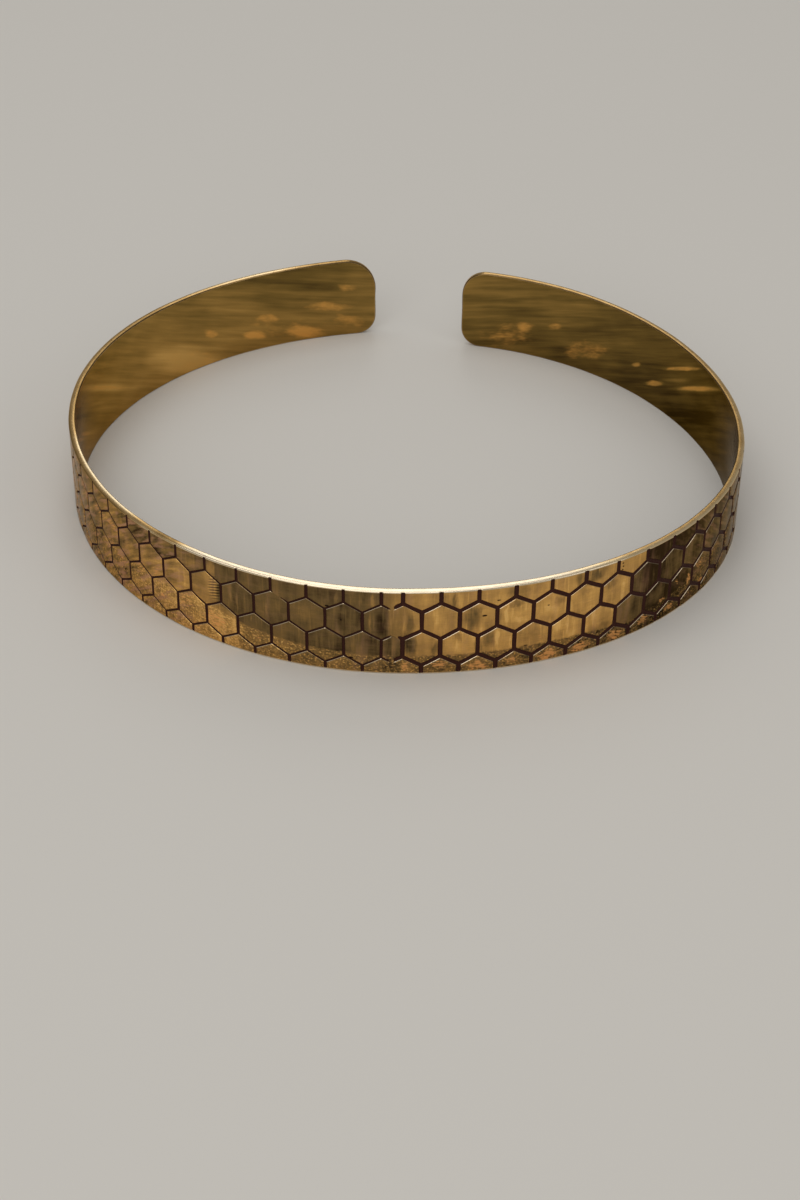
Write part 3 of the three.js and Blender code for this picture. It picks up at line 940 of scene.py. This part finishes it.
# the colour of the painted highlight on the lips that face up
LIP_HIGHLIGHT_COLOUR = "fbe6c2"
PIT = "33231a"
BLACKENED = "3f221c"
SEEDS_APART = 30  # from the least to the greatest seed of the hexagons' own patterns
RAGGED_GRAIN = (0.8, 0.8)
ZONE = (0.75, 0.25)
ZONE_GRAIN = (0.9, 0.6, 4, 0, 1.2)
SPECK_GRAIN = (0.42, 0.34, 1, 3)
SPECKS = (0.5, 0.7, 0, 0.6)
WARM_GRAIN = (1.8, 9, 2)
WARM_STREAKS = (0.52, 0.78, 0, 0.22)
SLANTING_GRAIN = (4, 1.2, 4, 5)
SLANTING_MOTTLES = (0.48, 0.64, 0, 0.6)
SPOT_LEVEL = -1.1  # low enough for a spot to show only near its middle and where its noise peaks
SPOT_GRAIN = (1.3, 0.34, 4, 0, 4.5)
SPOT = (0, 1, 0, 0.9)
PIT_RIM = (0.05, 0.55)
CUT_RIM = (0.16, 0.36)
SCRATCH_GRAIN = (0.3, 5, 4)
ROUGHNESS = (0.3, 0.7, 0.15, 0.27)
CUT_ROUGHNESS = 0.45  # more than the metal's
CUT_GLOSS = 0.15  # the blackened cuts are no metal on top, and hardly shine
SCRATCHES = {"Strength": 0.4, "Distance": 0.003 * MM}


def engraved_brass():
    """Darkened brass, rubbed bright on the hexagons and black in the cuts."""
    material, tree, place, read = strip_tree("brass_engraved_blackened_and_rubbed_back", ATTRIBUTES)
    flow = across_streaks(tree, place, read)
    frayed = wandered(tree, place)
    own = add(tree, "Math", (read["cell"], SEEDS_APART), operation="MULTIPLY")
    share = rubbed(tree, read, place, frayed, flow, own)

    # Along the lower edge is a speckled zone with a ragged top. It is a painted reflection of what lies in
    # front, darker on the right of the front and lighter on the left.
    ragged = add(tree, "Math", (grain(tree, place, *RAGGED_GRAIN), read["above_reflected_zone"]), operation="ADD")
    zone = add(tree, "MapRange", (ragged, *ZONE), **SMOOTH)
    tone = layered(tree, read["reflected_zone_tone"], place, ZONE_GRAIN)
    specks = add(tree, "MapRange", (grain(tree, place, *SPECK_GRAIN), *SPECKS), **SMOOTH)
    tone = add(tree, "Math", (tone, specks), operation="ADD")
    share = add(tree, "Math", (zone, tone, share), operation="MULTIPLY_ADD")
    colour = add(tree, "ValToRGB", (share,), stops=RUBBED_COLOURS)

    # Painted reflections: redder streaks, upright ones in front and slanting mottles round the sides, and
    # orange spots. The lips that face up get a painted highlight, and pits and cuts stay black.
    warm_reflection = add(tree, "MapRange", (grain(tree, place, *WARM_GRAIN, own), *WARM_STREAKS), **SMOOTH)
    slanting = add(tree, "MapRange", (grain(tree, flow, *SLANTING_GRAIN), *SLANTING_MOTTLES), **SMOOTH)
    warm_reflection = add(tree, "Math", (slanting, read["mottled_reflection"], warm_reflection), operation="MULTIPLY_ADD")
    spots = layered(tree, stained(tree, frayed, SPOT_LEVEL, ORANGE_REFLECTION_SPOTS), flow, SPOT_GRAIN)
    spots = add(tree, "MapRange", (spots, *SPOT), **SMOOTH)
    pits = add(tree, "MapRange", (stained(tree, place, 0, PITS), *PIT_RIM), **SMOOTH)
    black = add(tree, "MapRange", (read["cut"], *CUT_RIM), **SMOOTH)
    coats = ((warm_reflection, WARM_REFLECTION), (spots, REFLECTED_ORANGE), (read["lip"], LIP_HIGHLIGHT_COLOUR), (pits, PIT), (black, BLACKENED))
    for coat, coat_colour in coats:
        inputs = {MIX_FACTOR: coat, MIX_A: colour, MIX_B: linear(coat_colour)}
        colour = add(tree, "Mix", inputs, data_type="RGBA", output=MIX_RESULT)

    # Fine scratches all over, and dull black in the cuts.
    scratches = grain(tree, place, *SCRATCH_GRAIN, own)
    roughness = add(tree, "MapRange", (scratches, *ROUGHNESS), **SMOOTH)
    roughness = add(tree, "Math", (black, CUT_ROUGHNESS, roughness), operation="MULTIPLY_ADD")
    bump = add(tree, "Bump", {**SCRATCHES, "Height": scratches})
    metallic = add(tree, "Math", (1, black), operation="SUBTRACT")
    inputs = {"Base Color": colour, "Metallic": metallic, "Roughness": roughness, "Normal": bump}
    inputs |= {"Specular Tint": OUTER_ASLANT, "Specular IOR Level": CUT_GLOSS}
    add(tree, "OutputMaterial", (add(tree, "BsdfPrincipled", inputs),))
    return material


# %% [markdown]
# ## The edge and the inside
#
# The sheet's edge was filed and then polished by wear, so it is the brightest metal. The inside touches the
# skin: it is smooth and plain, with long streaks left by polishing that run down towards the tips. One side
# of it is darker towards the top and the other towards the bottom. Both materials are made as the engraved
# one is, from the same map and helpers, with fewer steps.

# %% The worn edge
EDGE_COLOURS = ((0, "6e583a"), (0.15, "a88856"), (0.3, "c9a672"), (0.5, "e8cfa2"), (0.9, "f6e3c4"))
EDGE_GRAINS = ((5, 9, 2, 0, 0.3), (1.2, 3, 2, 0, 0.15))
NOTCH_RIM = (0.2, 0.4)
FILED_GRAIN = (3, 3)
EDGE_ROUGHNESS = (0.3, 0.7, 0.18, 0.26)


def worn_edge():
    """Filed and worn brass: light, with slow changes and painted highlights along it, and the notches of the
    cuts black.
    """
    material, tree, place, read = strip_tree("brass_edge_filed_and_worn", ("dull", "cut"))
    share = layered(tree, read["dull"], place, *EDGE_GRAINS)
    colour = add(tree, "ValToRGB", (share,), stops=EDGE_COLOURS)
    black = add(tree, "MapRange", (read["cut"], *NOTCH_RIM), **SMOOTH)
    inputs = {MIX_FACTOR: black, MIX_A: colour, MIX_B: linear(BLACKENED)}
    colour = add(tree, "Mix", inputs, data_type="RGBA", output=MIX_RESULT)
    roughness = add(tree, "MapRange", (grain(tree, place, *FILED_GRAIN), *EDGE_ROUGHNESS), **SMOOTH)
    inputs = {"Base Color": colour, "Metallic": 1, "Roughness": roughness, "Specular Tint": OUTER_ASLANT}
    add(tree, "OutputMaterial", (add(tree, "BsdfPrincipled", inputs),))
    return material


# %% The plain inside
INSIDE_COLOURS = ((0, "3a2c1a"), (0.35, "7f6634"), (0.65, "b08b4a"), (1, "dcb064"))
INSIDE_ORANGE = "f6b55c"
STREAK_GRAINS = ((18, 1.5, 2, 4, 0.7), (9, 0.5, 2, 6, 0.14))
PATCH_GRAIN = (12, 7, 2, 7, 0.4)
INSIDE_SPOT_LEVEL = -0.75
INSIDE_SPOT_GRAINS = ((3.2, 1.5, 2.5, 9, 2.4), (1.6, 0.4, 2, 8, 0.8))
INSIDE_SPOT = (-0.3, 1.3, 0, 0.8)
INSIDE_SCRATCH_GRAIN = (6, 0.3, 4, 2)
INSIDE_ROUGHNESS = (0.3, 0.7, 0.12, 0.22)
INSIDE_SCRATCHES = {"Strength": 0.3, "Distance": 0.002 * MM}
INSIDE_STAINS = (
    # as for the engraved face, but these lie along the polishing streaks
    (-145, 3.6, 14, 4.6, 0.42), (-117, 10.4, 20, 1.3, 0.34), (-112, 6, 14, 3, -0.16),
    (-180, 12.6, 7, 1.6, -0.16), (-168, 16, 14, 1.6, -0.1), (-158, 12, 16, 2.4, 0.06),
    (-96, 10.4, 12, 0.7, 0.34), (-90, 13, 10, 0.6, 0.34), (-88, 8.6, 8, 0.9, -0.2),
    (-100, 13.4, 10, 0.9, -0.2), (-104, 7, 9, 0.7, 0.24), (-94, 6, 8, 0.6, 0.26), (-99, 16.6, 9, 0.8, 0.2),
    (122, 12.4, 13, 0.9, 0.5), (129, 13.4, 9, 0.8, 0.46), (138, 5.4, 4, 0.9, 0.4), (144, 7.2, 1.8, 0.8, 0.3),
    (124, 5, 12, 4, -0.12), (147, 3, 8, 3, -0.1), (164, 2.6, 4, 2.4, -0.12), (160, 13, 16, 4, 0.05),
    (108, 12, 12, 0.7, 0.16), (104, 7.6, 12, 0.7, 0.14), (131, 9.6, 7, 0.7, 0.2),
)  # fmt: skip
INSIDE_SPOTS = (
    # the same, for places where the brass shows orange, and how surely it does
    (-152.9, 7.3, 3.4, 1.6, 1.4), (-163.6, 3.8, 4, 1.7, 1.4), (-176, 2, 6, 2.2, 1.4),
    (-181, 7.6, 8, 1.9, 1.3), (-185.7, 11.6, 3.4, 1.5, 1.2), (-167, 7.4, 3.6, 1.5, 1),
    (-148, 2.8, 14, 3.8, 0.6), (-170, 4, 16, 4.6, 0.7), (-186, 3.4, 6, 3, 1.1), (-117, 10.4, 18, 0.9, 1.1),
    (-96, 10.4, 12, 0.9, 1.1), (-90, 13, 8, 0.8, 1.1), (-104, 7, 9, 0.8, 1), (122, 12.4, 13, 0.9, 1.5),
    (129, 13.4, 9, 0.8, 1.5), (138, 5.4, 4.4, 1.1, 1.4), (144, 7.2, 2, 1, 1.2), (158, 5.2, 10, 4, 1),
    (166, 8.6, 3.4, 1.4, 1.1), (173, 7, 3, 1.6, 1.1), (177, 3.8, 10, 4.6, 1),
)  # fmt: skip


def on_streaks(table):
    """A table's rows with their heights measured as the streaks' are."""
    return [(along, up + float(slid(along)), *rest) for along, up, *rest in table]


def plain_inside():
    """Rolled brass, smooth and slightly dulled, with polishing streaks, stains and orange spots."""
    material, tree, place, read = strip_tree("brass_rolled_smooth_and_dulled", ("dull", "streak_height"))
    flow = across_streaks(tree, place, read)
    share = layered(tree, read["dull"], flow, *STREAK_GRAINS)
    share = layered(tree, share, place, PATCH_GRAIN)
    share = stained(tree, flow, share, on_streaks(INSIDE_STAINS))
    colour = add(tree, "ValToRGB", (share,), stops=INSIDE_COLOURS)
    spots = stained(tree, flow, INSIDE_SPOT_LEVEL, on_streaks(INSIDE_SPOTS))
    spots = layered(tree, spots, flow, *INSIDE_SPOT_GRAINS)
    spots = add(tree, "MapRange", (spots, *INSIDE_SPOT), **SMOOTH)
    inputs = {MIX_FACTOR: spots, MIX_A: colour, MIX_B: linear(INSIDE_ORANGE)}
    colour = add(tree, "Mix", inputs, data_type="RGBA", output=MIX_RESULT)
    scratches = grain(tree, place, *INSIDE_SCRATCH_GRAIN)
    roughness = add(tree, "MapRange", (scratches, *INSIDE_ROUGHNESS), **SMOOTH)
    bump = add(tree, "Bump", {**INSIDE_SCRATCHES, "Height": scratches})
    inputs = {"Base Color": colour, "Metallic": 1, "Roughness": roughness, "Normal": bump}
    inputs["Specular Tint"] = INNER_ASLANT
    add(tree, "OutputMaterial", (add(tree, "BsdfPrincipled", inputs),))
    return material


# %% Give the band its brass
for make in (engraved_brass, worn_edge, plain_inside):
    band.data.materials.append(make())
for material in band.data.materials:
    print("the band wears", material.name, "of", len(material.node_tree.nodes), "nodes")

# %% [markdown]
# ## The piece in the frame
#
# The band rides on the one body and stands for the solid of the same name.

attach(band, "root")
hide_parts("band")

# %% [markdown]
# ## The studio
#
# A plain pale floor, and soft light. A polished metal has hardly a look of its own: it shows what is round
# it. The upright faces mirror the floor just in front of them, the top edge mirrors what is low behind the
# piece, and the worn lips of the cuts mirror what is overhead. So a broad soft light hangs overhead, one
# hangs in front to light the floor there, a weak one at the right is for the lips that turn that way, and a
# narrow one stands behind, where the top edge of the front catches it.

# %% The floor
FLOOR_HALF = 5  # metres
PAPER = "dedad3"
PAPER_ROUGHNESS = 0.9


def make_floor():
    """A large square of pale matt paper, just under the piece."""
    material, tree = new_tree("pale_matt_paper")
    inputs = {"Base Color": linear(PAPER), "Roughness": PAPER_ROUGHNESS}
    add(tree, "OutputMaterial", (add(tree, "BsdfPrincipled", inputs),))
    corners = [(-1, -1), (1, -1), (1, 1), (-1, 1)]
    mesh = bpy.data.meshes.new("floor")
    mesh.from_pydata([(x * FLOOR_HALF, y * FLOOR_HALF, 0) for x, y in corners], [], [(0, 1, 2, 3)])
    mesh.materials.append(material)
    new_object("floor", mesh)
    print("the floor is", 2 * FLOOR_HALF, "m square")


make_floor()

# %% Soft lights
SOFTBOXES = (
    # name, place and size in metres, radiance, and the point that it looks towards
    ("overhead_softbox", (-0.2, -0.1, 1.3), (1.3, 1.3), 1, (0, 0, 0)),
    ("front_softbox", (-0.25, -1.1, 0.75), (1.2, 0.8), 1.1, (0, 0, 0)),
    ("right_softbox", (1, -0.7, 0.65), (0.5, 0.7), 0.7, (0, 0, 0)),
    ("back_softbox", (-0.025, 0.9, 0.86), (0.3, 0.84), 1.4, (-0.025, 0, 0.86)),
)
AIR = "f4f2ee"
AIR_STRENGTH = 0.35


def add_softbox(name, place, size, radiance, towards):
    """A rectangular light that looks towards a point. radiance is how bright its face looks, and its power is
    radiance · π · area."""
    lamp = bpy.data.lights.new(name, "AREA")
    lamp.shape = "RECTANGLE"
    lamp.size, lamp.size_y = size
    lamp.energy = radiance * math.pi * size[0] * size[1]
    softbox = new_object(name, lamp)
    softbox.location = place
    softbox.rotation_euler = (Vector(towards) - Vector(place)).to_track_quat("-Z", "Y").to_euler()


for softbox in SOFTBOXES:
    add_softbox(*softbox)
world = bpy.data.worlds.new("studio_air")
world.use_nodes = True
for socket, value in (("Color", linear(AIR)), ("Strength", AIR_STRENGTH)):
    world.node_tree.nodes["Background"].inputs[socket].default_value = value
bpy.context.scene.world = world
bpy.context.scene.view_settings.view_transform = "Standard"
print("the lights are", [name for name, *_ in SOFTBOXES])

# %% [markdown]
# ## The camera
#
# The camera looks down on the front of the piece from about 36 degrees, hardly turned and hardly tilted. It
# is given by the point of the floor that it aims at, its distance from it, its angles and its lens.

# %% Place the camera
AIM = Vector((0.22, -39.82, 0)) * MM
DISTANCE = 413.06 * MM
AZIMUTH = math.radians(1.0526)
ELEVATION = math.radians(36.2004)
ROLL = math.radians(0.6738)
LENS = 66.6  # millimetres, on a 36 mm sensor
NEAREST = 10 * MM  # what is nearer isn't seen


def place_camera():
    """Back is the direction from the aim to the camera, right is level, up is square to both, and roll turns
    right and up about the line of sight."""
    back = Vector((
        math.sin(AZIMUTH) * math.cos(ELEVATION),
        -math.cos(AZIMUTH) * math.cos(ELEVATION),
        math.sin(ELEVATION),
    ))  # fmt: skip
    right = Vector((math.cos(AZIMUTH), math.sin(AZIMUTH), 0))
    up = back.cross(right)
    turned_right = right * math.cos(ROLL) + up * math.sin(ROLL)
    turned_up = up * math.cos(ROLL) - right * math.sin(ROLL)
    camera = new_object("camera", bpy.data.cameras.new("camera"))
    camera.data.lens = LENS
    camera.data.clip_start = NEAREST
    turn = Matrix((turned_right, turned_up, back)).transposed()
    camera.matrix_world = Matrix.Translation(AIM + back * DISTANCE) @ turn.to_4x4()
    bpy.context.scene.camera = camera
    return camera


camera = place_camera()
print("the camera is at", [round(value / MM, 1) for value in camera.location], "mm")
